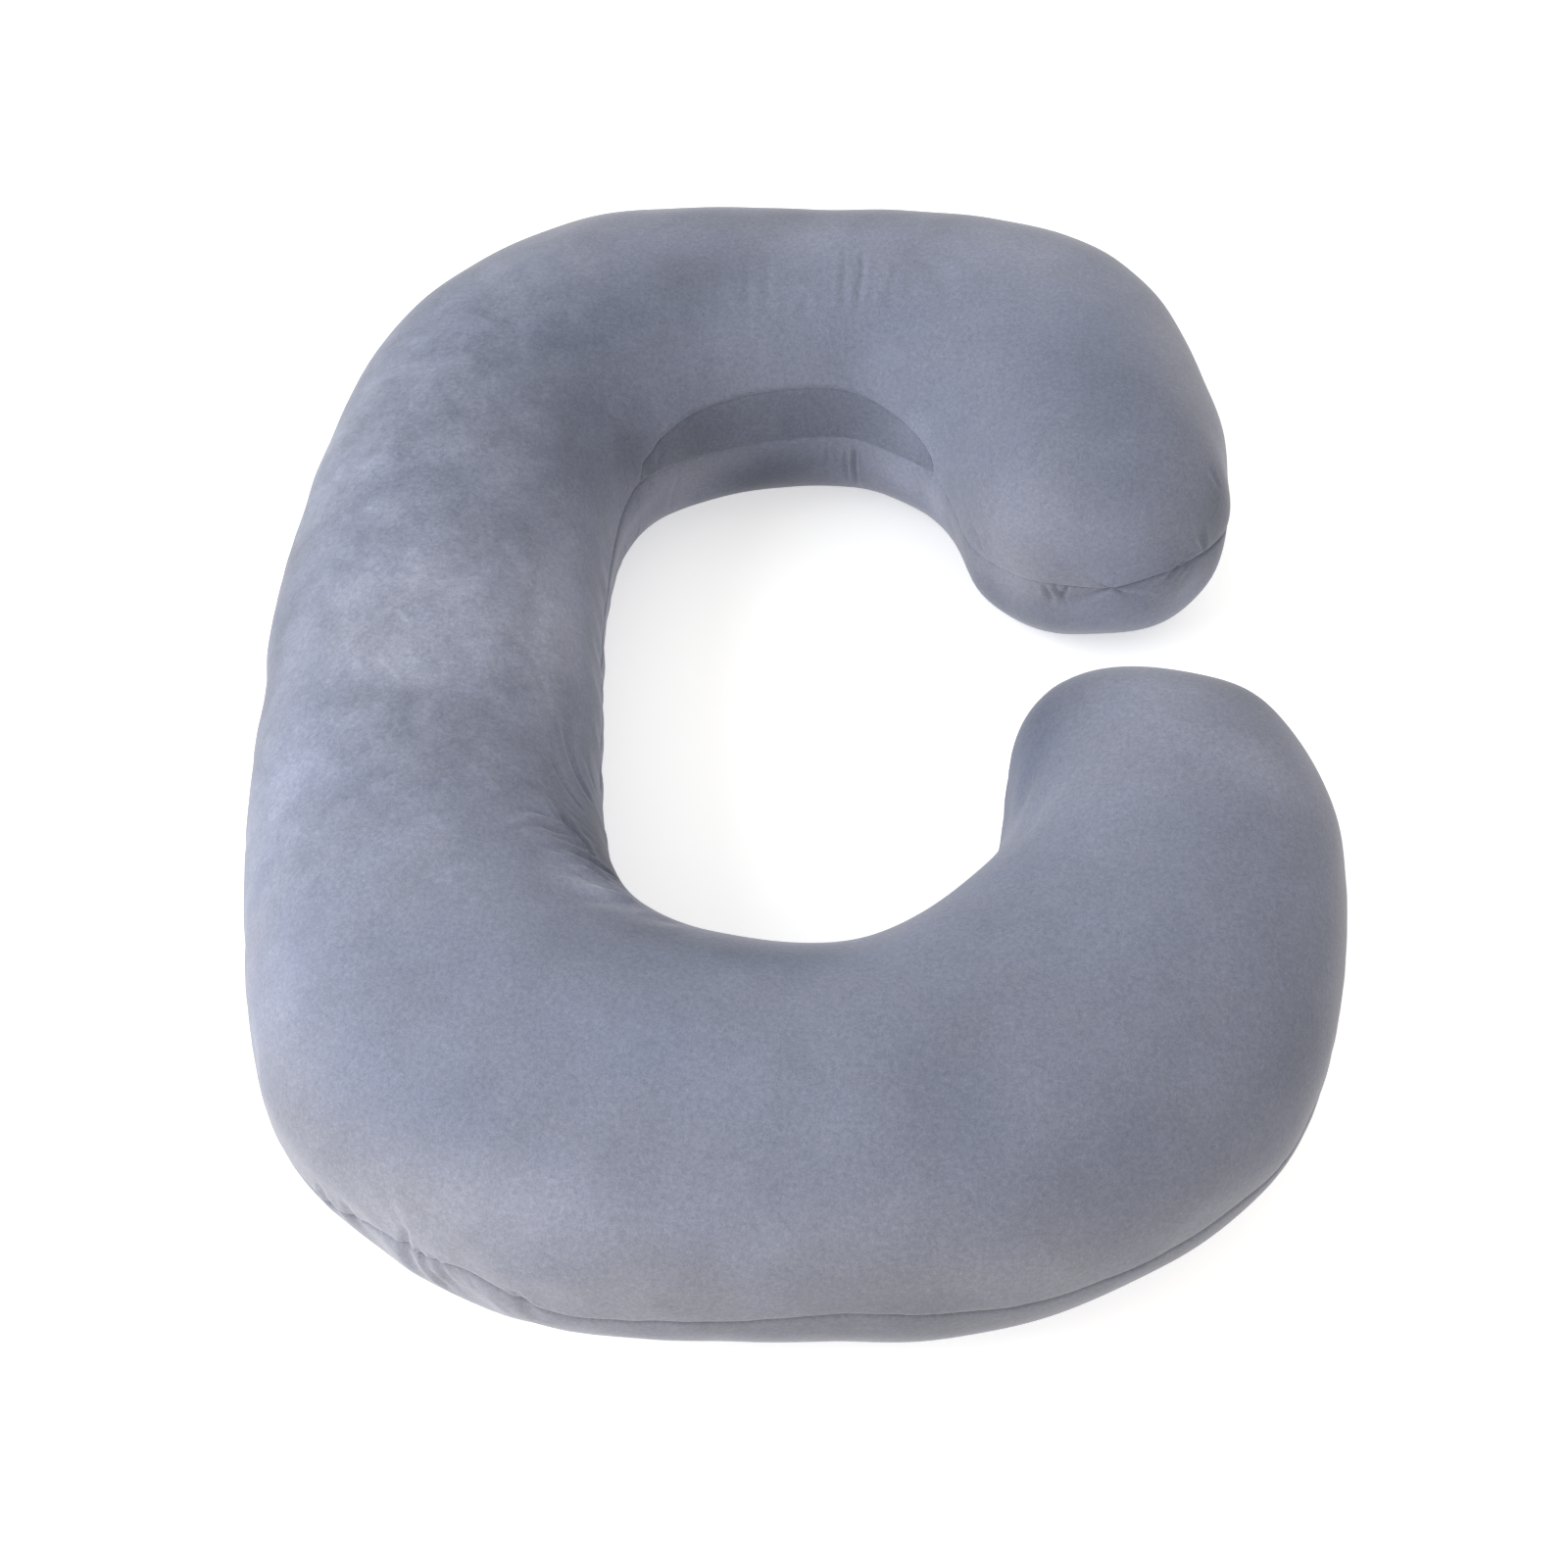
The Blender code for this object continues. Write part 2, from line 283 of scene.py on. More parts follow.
def stuffedMoves():
    # how far pressure moves each point of the coarse copy
    rows = rowPlaces(stuffing["rows"], stuffing["tipRows"], stuffing["tipRows"])
    turns = np.linspace(0, 360, stuffing["columns"], endpoint=False)
    along, angle = np.meshgrid(rows, turns, indexing="ij")
    form = smoothSkin(along, angle)
    outward = skinNormals(along, angle)
    onFloor = smoothStep(form[..., 2] / 0.012)
    onSeam = np.abs(form[..., 2] - tube["seamHeight"]) < 1e-4
    start = form - stuffing["inset"] * (onFloor * ~onSeam)[..., None] * outward
    count, columns = along.shape
    corner = np.arange(count * columns).reshape(count, columns)
    nextColumn = np.roll(corner, -1, axis=1)
    faces = np.stack([corner[:-1], nextColumn[:-1], nextColumn[1:], corner[1:]], axis=-1).reshape(-1, 4)
    tips = np.array([start[0].mean(axis=0), start[-1].mean(axis=0)])
    caps = [(count * columns, int(b), int(a)) for a, b in zip(corner[0], nextColumn[0])]
    caps += [(count * columns + 1, int(a), int(b)) for a, b in zip(corner[-1], nextColumn[-1])]
    copy = meshPiece("stuffedCopy", np.concatenate([start.reshape(-1, 3), tips]), faces, caps)
    held = copy.vertex_groups.new(name="held")
    still = np.nonzero((onSeam | (onFloor < 0.05)).ravel())[0]
    held.add([*still.tolist(), count * columns, count * columns + 1], 1.0, "REPLACE")
    taut = copy.vertex_groups.new(name="taut")
    levels = np.round(32 * (1 - gatherShare(along, angle, form).ravel())).astype(int)
    for level in range(1, 33):
        taut.add(np.nonzero(levels == level)[0].tolist(), level / 32, "REPLACE")
    taut.add([count * columns, count * columns + 1], 1.0, "REPLACE")
    blown = copy.modifiers.new("stuffing", "CLOTH")
    blown.point_cache.frame_start = 1
    blown.point_cache.frame_end = stuffing["frames"]
    blown.collision_settings.use_collision = False
    cloth = blown.settings
    cloth.quality = stuffing["quality"]
    cloth.mass = stuffing["mass"]
    cloth.tension_stiffness = stuffing["stretch"]
    cloth.compression_stiffness = stuffing["stretch"]
    cloth.shear_stiffness = stuffing["shear"]
    cloth.bending_stiffness = stuffing["bend"]
    cloth.use_pressure = True
    cloth.uniform_pressure_force = stuffing["pressure"]
    cloth.effector_weights.gravity = 0
    cloth.vertex_group_mass = "held"
    cloth.vertex_group_shrink = "taut"
    cloth.shrink_min = -stuffing["slack"]
    cloth.shrink_max = 0
    for frameNumber in range(1, stuffing["frames"] + 1):
        bpy.context.scene.frame_set(frameNumber)
    blownMesh = copy.evaluated_get(bpy.context.evaluated_depsgraph_get()).data
    places = np.empty(len(blownMesh.vertices) * 3)
    blownMesh.vertices.foreach_get("co", places)
    ended = places.reshape(-1, 3)[:-2].reshape(count, columns, 3)
    bpy.data.objects.remove(copy)
    bpy.context.scene.frame_set(1)
    moves = smoothedGrid(ended - form, 1)
    swell = smoothedGrid(moves, stuffing["swellPasses"])
    moves = moves - swell + stuffing["keepSwell"] * swell
    far = np.linalg.norm(moves, axis=-1, keepdims=True)
    moves *= stuffing["cap"] / np.sqrt(stuffing["cap"] ** 2 + far**2)
    moves[onFloor < 0.05] = 0
    print("cover blown up; the furthest point moved", round(float(far.max()) * 1000, 1), "mm before the cap")
    return rows, moves


def hermite(before, left, right, after, share):
    # smooth reading between left and right
    slopeLeft, slopeRight = (right - before) / 2, (after - left) / 2
    square, cube = share**2, share**3
    return ((2 * cube - 3 * square + 1) * left + (cube - 2 * square + share) * slopeLeft
            + (3 * square - 2 * cube) * right + (cube - square) * slopeRight)


def readMoves(rows, moves, along, angle):
    # the coarse copy's moves at finer places
    row = np.interp(along, rows, np.arange(len(rows)))
    column = np.mod(angle, 360) / 360 * moves.shape[1]
    low, side = np.floor(row).astype(int), np.floor(column).astype(int)
    rowShare, sideShare = (row - low)[..., None], (column - side)[..., None]
    last = len(rows) - 1
    across = []
    for rowStep in (-1, 0, 1, 2):
        line = np.clip(low + rowStep, 0, last)
        reads = [moves[line, (side + step) % moves.shape[1]] for step in (-1, 0, 1, 2)]
        across.append(hermite(*reads, sideShare))
    return hermite(*across, rowShare)


stuffedRows, stuffedBy = stuffedMoves()

# the seam all round at half height
seam = {
    "depth": 0.0022,  # narrow valley where the panels meet
    "lip": 0.0014,
    "drawDepth": 0.0016,  # broad pull towards the seam
    "drawReach": 0.014,
    "insideGusset": 0.35,  # share of the valley kept where the gusset is let in
    "faint": [  # where the valley nearly closes
        ((0.110, 0), (0.075, 40), 0.90),
        ((0.030, 0), (0.020, 40), 0.30),
        ((1.580, 180), (0.120, 40), 0.45),
        ((1.820, 180), (0.100, 40), 0.35),
    ],
    # (along, drop) where the seam wanders below its usual height or, below nothing, above it
    "outerWander": [
        (0, -0.028), (0.010, -0.026), (0.020, -0.012), (0.060, 0), (0.700, 0), (1.220, 0.006),
        (1.300, 0.022), (1.370, 0.020), (1.400, 0.004), (1.440, -0.008), (1.480, 0.014), (1.560, 0.014),
        (1.620, 0), (1.650, 0.004), (1.690, 0.010), (1.740, 0.010), (1.790, 0.006), (1.830, 0.008),
        (1.880, 0.002), (2.135, 0),
    ],
    "innerWander": [
        (0, 0), (0.010, 0.008), (0.040, 0.010), (0.090, 0), (0.200, -0.008), (0.320, 0),
        (0.560, 0), (0.690, -0.008), (0.750, -0.014), (0.800, -0.010), (0.880, 0), (2.135, 0),
    ],
}


def seamWander(along, places):
    alongs, drops = np.array(places).T
    shifts = np.linspace(-0.009, 0.009, 7)  # rounds off the corners
    return sum(np.interp(along + shift, alongs, drops) for shift in shifts) / len(shifts)


def seamTurn(along, places):
    # the wandering seam's angle below the usual one
    drop = seamWander(along, places)
    below = (np.maximum(drop, 0) / (tube["seamHeight"] * tube["sag"])) ** (tube["lowerRoundness"] / 2)
    above = (np.maximum(-drop, 0) / tube["seamHeight"]) ** (tube["upperRoundness"] / 2)
    return np.degrees(np.arcsin(below) - np.arcsin(above))


def outerSeam(along):
    return 180 + seamTurn(along, seam["outerWander"])


def innerSeam(along):
    return -seamTurn(along, seam["innerWander"])


def underInnerSeam(along):
    return 360 + innerSeam(along)


def fromSeam(along, angle, height):
    # height above or below the wandering seam
    outerDrop, innerDrop = seamWander(along, seam["outerWander"]), seamWander(along, seam["innerWander"])
    drop = np.where(onOuterSide(angle), outerDrop, innerDrop)
    return np.abs(height - tube["seamHeight"] + drop * fullness(along))


creases = [
    # (along, angle) places from the deep end outwards; width and depth at the deep end, a ridge where negative
    # fan at the inner corner between the back and the leg side
    {"at": [(1.205, 21), (1.181, 31), (1.150, 35), (1.115, 35), (1.080, 34)],
     "width": 0.0034, "depth": 0.0013},
    {"at": [(1.180, 13), (1.166, 19), (1.145, 23)], "width": 0.0030, "depth": 0.0008},
    {"at": [(1.204, 40), (1.189, 44), (1.175, 47), (1.158, 50)], "width": 0.0020, "depth": 0.0009},
    {"at": [(1.232, 30), (1.214, 38), (1.194, 43), (1.170, 48)], "width": 0.0020, "depth": 0.0010},
    {"at": [(1.322, 36), (1.286, 38), (1.264, 43), (1.241, 46), (1.222, 51)],
     "width": 0.0030, "depth": 0.0027},
    {"at": [(1.342, 26), (1.328, 36), (1.315, 43), (1.303, 50), (1.292, 58)],
     "width": 0.0026, "depth": 0.0027},
    {"at": [(1.356, 36), (1.336, 41), (1.320, 47), (1.306, 53), (1.284, 62)],
     "width": 0.0024, "depth": 0.0026},
    {"at": [(1.294, 38), (1.283, 44), (1.276, 50), (1.266, 61)], "width": 0.0021, "depth": 0.0018},
    {"at": [(1.279, 42), (1.265, 47), (1.256, 53), (1.259, 67)], "width": 0.0021, "depth": 0.0015},
    {"at": [(1.338, 41), (1.329, 49), (1.313, 58)], "width": 0.0021, "depth": 0.0018},
    {"at": [(1.272, 54), (1.267, 61), (1.273, 70)], "width": 0.0022, "depth": -0.0009},
    {"at": [(1.364, 46), (1.338, 50), (1.320, 62)], "width": 0.0024, "depth": 0.0014},
    {"at": [(1.404, 35), (1.379, 46), (1.361, 54), (1.340, 62)], "width": 0.0048, "depth": -0.0022},
    {"at": [(1.428, 37), (1.402, 48), (1.381, 54), (1.362, 60)], "width": 0.0060, "depth": 0.0009},
    {"at": [(1.476, 38), (1.448, 43), (1.420, 48), (1.400, 56)], "width": 0.0080, "depth": 0.0008},
    # brushed hollows on the back
    {"at": [(1.150, 62), (1.128, 76), (1.118, 96), (1.116, 118)], "width": 0.0110, "depth": 0.0012},
    {"at": [(1.010, 48), (1.060, 52), (1.110, 50), (1.160, 44)], "width": 0.0120, "depth": 0.0014},
    {"at": [(1.163, 96), (1.155, 87), (1.162, 76), (1.172, 66)], "width": 0.0030, "depth": 0.0007},
    {"at": [(1.114, 44), (1.083, 52), (1.062, 60), (1.044, 66)], "width": 0.0034, "depth": 0.0008},
    # across the top of the head side
    {"at": [(0.414, 86), (0.409, 66), (0.401, 52)], "width": 0.0026, "depth": 0.0009},
    {"at": [(0.399, 86), (0.392, 66), (0.386, 50)], "width": 0.0026, "depth": 0.0011},
    {"at": [(0.357, 88), (0.320, 78), (0.289, 66)], "width": 0.0070, "depth": 0.0008},
    {"at": [(0.500, 86), (0.507, 65), (0.515, 48)], "width": 0.0032, "depth": 0.0006},
    {"at": [(0.481, 84), (0.485, 68), (0.489, 53)], "width": 0.0032, "depth": 0.0007},
    {"at": [(0.447, 66), (0.446, 51)], "width": 0.0036, "depth": 0.0006},
    {"at": [(0.366, 80), (0.358, 64), (0.351, 53)], "width": 0.0036, "depth": 0.0006},
    # tuck in the wall under the gusset
    {"at": [(0.363, -3), (0.365, -18), (0.369, -34)], "width": 0.0018, "depth": 0.0026},
    {"at": [(0.377, -4), (0.377, -18), (0.379, -32)], "width": 0.0018, "depth": 0.0014},
    {"at": [(0.404, -3), (0.408, -14), (0.414, -24)], "width": 0.0026, "depth": 0.0010},
    # gathers at the gusset's ends
    {"at": [(0.700, 6), (0.690, 16), (0.676, 27)], "width": 0.0036, "depth": 0.0012},
    {"at": [(0.722, 3), (0.728, 14), (0.736, 26)], "width": 0.0040, "depth": 0.0012},
    {"at": [(0.760, -13), (0.765, -23), (0.810, -20)], "width": 0.0024, "depth": 0.0010},
    {"at": [(0.809, -6), (0.801, -21), (0.845, -16)], "width": 0.0024, "depth": 0.0009},
    {"at": [(0.664, -2), (0.676, -10), (0.664, -24)], "width": 0.0026, "depth": 0.0010},
    # inner side of the leg arm
    {"at": [(1.934, 25), (1.969, 30), (1.995, 43), (2.015, 57)], "width": 0.0105, "depth": 0.0014},
    {"at": [(1.896, 38), (1.937, 39), (1.965, 51), (1.980, 66)], "width": 0.0110, "depth": 0.0012},
    {"at": [(2.079, 30), (2.085, 35), (2.090, 41)], "width": 0.0034, "depth": 0.0008},
    # head arm's end
    {"at": [(0.022, 170), (0.018, 158), (0.016, 144)], "width": 0.0026, "depth": -0.0018},
    {"at": [(0.026, 174), (0.023, 160), (0.022, 146)], "width": 0.0028, "depth": 0.0016},
    {"at": [(0.013, 171), (0.020, 175), (0.027, 176)], "width": 0.0036, "depth": 0.0017},
    {"at": [(0.050, 150), (0.052, 141), (0.057, 134)], "width": 0.0026, "depth": 0.0009},
    {"at": [(0.013, 166), (0.008, 174), (0.004, 183)], "width": 0.0022, "depth": 0.0022},
    {"at": [(0.017, 175), (0.011, 181), (0.008, 187)], "width": 0.0020, "depth": -0.0012},
    {"at": [(0.010, -2), (0.008, -13), (0.010, -25)], "width": 0.0022, "depth": 0.0022},
    {"at": [(0.007, -1), (0.005, -13), (0.006, -26)], "width": 0.0020, "depth": 0.0022},
    {"at": [(0.004, -2), (0.0045, -11), (0.005, -20)], "width": 0.0022, "depth": 0.0024},
    {"at": [(0.051, 2), (0.060, 6), (0.072, 9)], "width": 0.0030, "depth": 0.0010},
    # folds that cross the outer seam at the leg side's corner
    {"at": [(1.410, 172), (1.410, 179), (1.414, 185), (1.422, 190)], "width": 0.0040, "depth": 0.0028},
    {"at": [(1.416, 177), (1.421, 182), (1.426, 187), (1.430, 195)], "width": 0.0024, "depth": 0.0024},
    {"at": [(1.424, 176), (1.429, 182), (1.436, 190)], "width": 0.0022, "depth": 0.0020},
    {"at": [(1.438, 178), (1.444, 182), (1.452, 187)], "width": 0.0020, "depth": 0.0008},
    {"at": [(1.446, 181), (1.454, 185), (1.462, 190)], "width": 0.0020, "depth": 0.0008},
    {"at": [(1.460, 178), (1.465, 183), (1.472, 189)], "width": 0.0030, "depth": 0.0018},
    {"at": [(1.364, 180), (1.368, 186), (1.373, 194)], "width": 0.0034, "depth": 0.0018},
    {"at": [(1.378, 179), (1.381, 185), (1.385, 192)], "width": 0.0034, "depth": 0.0016},
    {"at": [(1.407, 172), (1.400, 158), (1.394, 148)], "width": 0.0040, "depth": 0.0008},
]

# fine ripples where the fan's folds crowd together
ripples = {
    "place": (1.285, 50),
    "reach": (0.075, 17),
    "slant": 0.0013,  # metres along for each degree
    "size": 0.0040,
    "length": 0.00045,  # of a degree's run
    "depth": 0.00055,
}
wobble = {"size": 0.034, "reach": 0.0009}  # no crease is quite straight


def creaseDepth(points):
    # how far the listed creases sink each point; a soft ridge stands beside each valley
    total = np.zeros(points.shape[:-1])
    sway = np.stack([softNoise(points, wobble["size"], seed) for seed in (11, 12, 13)], axis=-1)
    swayed = points + wobble["reach"] * sway
    for crease in creases:
        places = np.array(crease["at"], dtype=float)
        knots = runLength(places * (1, 0.0015))
        fine = splineThrough(knots, places, np.linspace(0, knots[-1], 24))
        line = smoothSkin(fine[:, 0], fine[:, 1])
        near = np.abs(points - line.mean(axis=0)).max(axis=-1) < np.ptp(line, axis=0).max() + 0.05
        gap, place = distanceToLine(swayed[near], line)
        width = crease["width"] * (0.7 + 0.9 * place)
        fade = smoothStep(place / 0.15 + 0.35) * smoothStep((1 - place) / 0.55)
        valley = np.exp(-((gap / width) ** 2))
        ridge = 0.42 * np.exp(-(((gap - 2.0 * width) / width) ** 2))
        total[near] += crease["depth"] * fade * (valley - ridge)
    return total


def rippleDepth(along, angle):
    fromPlace = (along - ripples["place"][0]) / ripples["reach"][0]
    fromTurn = (angle - ripples["place"][1]) / ripples["reach"][1]
    slanted = along + ripples["slant"] * (angle - ripples["place"][1])
    lie = np.stack([0.55 * slanted, ripples["length"] * angle, np.zeros_like(along)], axis=-1)
    return ripples["depth"] * np.exp(-(fromPlace**2) - fromTurn**2) * softNoise(lie, ripples["size"], 21)


def seamGathers(along, angle, height):
    # fine uneven gathers all along the seam
    draw = np.random.default_rng(7)
    total = np.zeros_like(height)
    gap = fromSeam(along, angle, height)
    outerSide = onOuterSide(angle)
    for onSide in (outerSide, ~outerSide):
        place = 0.0
        while place < tubeLength:
            place += draw.uniform(0.008, 0.034)
            width, depth = draw.uniform(0.0022, 0.0050), draw.uniform(0.0001, 0.0006)
            reach = draw.uniform(0.006, 0.016)
            near = onSide & (np.abs(along - place) < 4 * width)
            total[near] += depth * np.exp(-(((along[near] - place) / width) ** 2) - gap[near] / reach)
    return total


# the crescent let into the inner wall of the head side, above the seam
gusset = {
    "start": 0.200,
    "end": 0.745,
    "rise": 23.5,  # degrees up from the seam in the middle
    "skew": 0.07,  # a little taller towards the back
    "bluntness": 0.62,
    "seamDepth": 0.0012,
    "seamWidth": 0.0015,
    "ridge": 0.0008,  # the top panel's turned-in edge stands a little proud of the arch
    "ridgeAway": 0.0052,
    "ridgeWidth": 0.0034,
    "columns": 34,
    "crowds": [(0, 0.05, 3), (1, 0.05, 3)],
}


def gussetTop(along):
    middle, half = (gusset["start"] + gusset["end"]) / 2, (gusset["end"] - gusset["start"]) / 2
    share = np.clip((along - middle) / half, -1, 1)
    arch = gusset["rise"] * (1 + gusset["skew"] * share) * (1 - share**2) ** gusset["bluntness"]
    return innerSeam(along) + arch


def archDepth(along, angle, points):
    # the arch seam's valley, with a thin ridge on the top panel's side
    total = np.zeros(points.shape[:-1])
    near = (along > gusset["start"] - 0.03) & (along < gusset["end"] + 0.03) & (np.abs(angle - 12) < 30)
    turn = np.linspace(-1, 1, 160)
    middle, half = (gusset["start"] + gusset["end"]) / 2, (gusset["end"] - gusset["start"]) / 2
    archAlong = middle + half * np.sin(turn * np.pi / 2)
    line = smoothSkin(archAlong, gussetTop(archAlong))
    gap, place = distanceToLine(points[near], line)
    ends = smoothStep(np.minimum(place, 1 - place) / 0.05)
    valley = np.exp(-((gap / gusset["seamWidth"]) ** 1.4))
    ridge = np.exp(-(((gap - gusset["ridgeAway"]) / gusset["ridgeWidth"]) ** 2))
    ridge *= angle[near] > gussetTop(along[near]) + 0.01
    total[near] = ends * (gusset["seamDepth"] * valley - gusset["ridge"] * ridge)
    return total


# broad places where the filling pushes out or, below nothing, gives way
swells = [
    # (along, angle) middle, reach along the tube and in degrees, height
    ((1.610, 205), (0.100, 20), 0.003),
    ((1.455, 198), (0.050, 18), 0.003),
    ((1.350, 186), (0.030, 30), 0.003),
    ((0.310, 124), (0.050, 26), -0.004),
    ((1.755, 194), (0.035, 26), -0.002),
    ((0.024, 196), (0.022, 26), -0.006),
    ((1.919, 24), (0.050, 26), -0.004),
    ((2.090, 20), (0.050, 30), 0.005),
    ((2.096, 125), (0.026, 26), 0.004),
    ((0.080, 162), (0.020, 24), -0.003),
    ((0.036, -20), (0.030, 26), -0.010),
]


def dressed(along, angle):
    # the skin with its stuffing, seams, creases and puckers
    smooth = smoothSkin(along, angle)
    normals = skinNormals(along, angle)
    height = smooth[..., 2]
    gap = fromSeam(along, angle, height)
    toEnd = np.minimum(along - gusset["start"], gusset["end"] - along)
    inGusset = smoothStep(toEnd / 0.03) * ~onOuterSide(angle)
    depth = seam["depth"] * (1 - (1 - seam["insideGusset"]) * inGusset)
    depth *= 1 - placedSum(along, angle, seam["faint"])
    sunk = depth * np.exp(-((gap / seam["lip"]) ** 1.3))
    sunk += seam["drawDepth"] * np.exp(-gap / seam["drawReach"])
    sunk += creaseDepth(smooth) + archDepth(along, angle, smooth)
    sunk += rippleDepth(along, angle) + seamGathers(along, angle, height)
    lump = 0.0012 * softNoise(smooth, 0.13, 3) + 0.0005 * softNoise(smooth, 0.045, 5)
    lump += placedSum(along, angle, swells)
    onFloor = smoothStep(height / 0.02)
    moved = smooth + readMoves(stuffedRows, stuffedBy, along, angle)
    moved -= ((sunk - lump) * onFloor)[..., None] * normals
    moved[..., 2] = np.maximum(moved[..., 2], 0)
    return moved
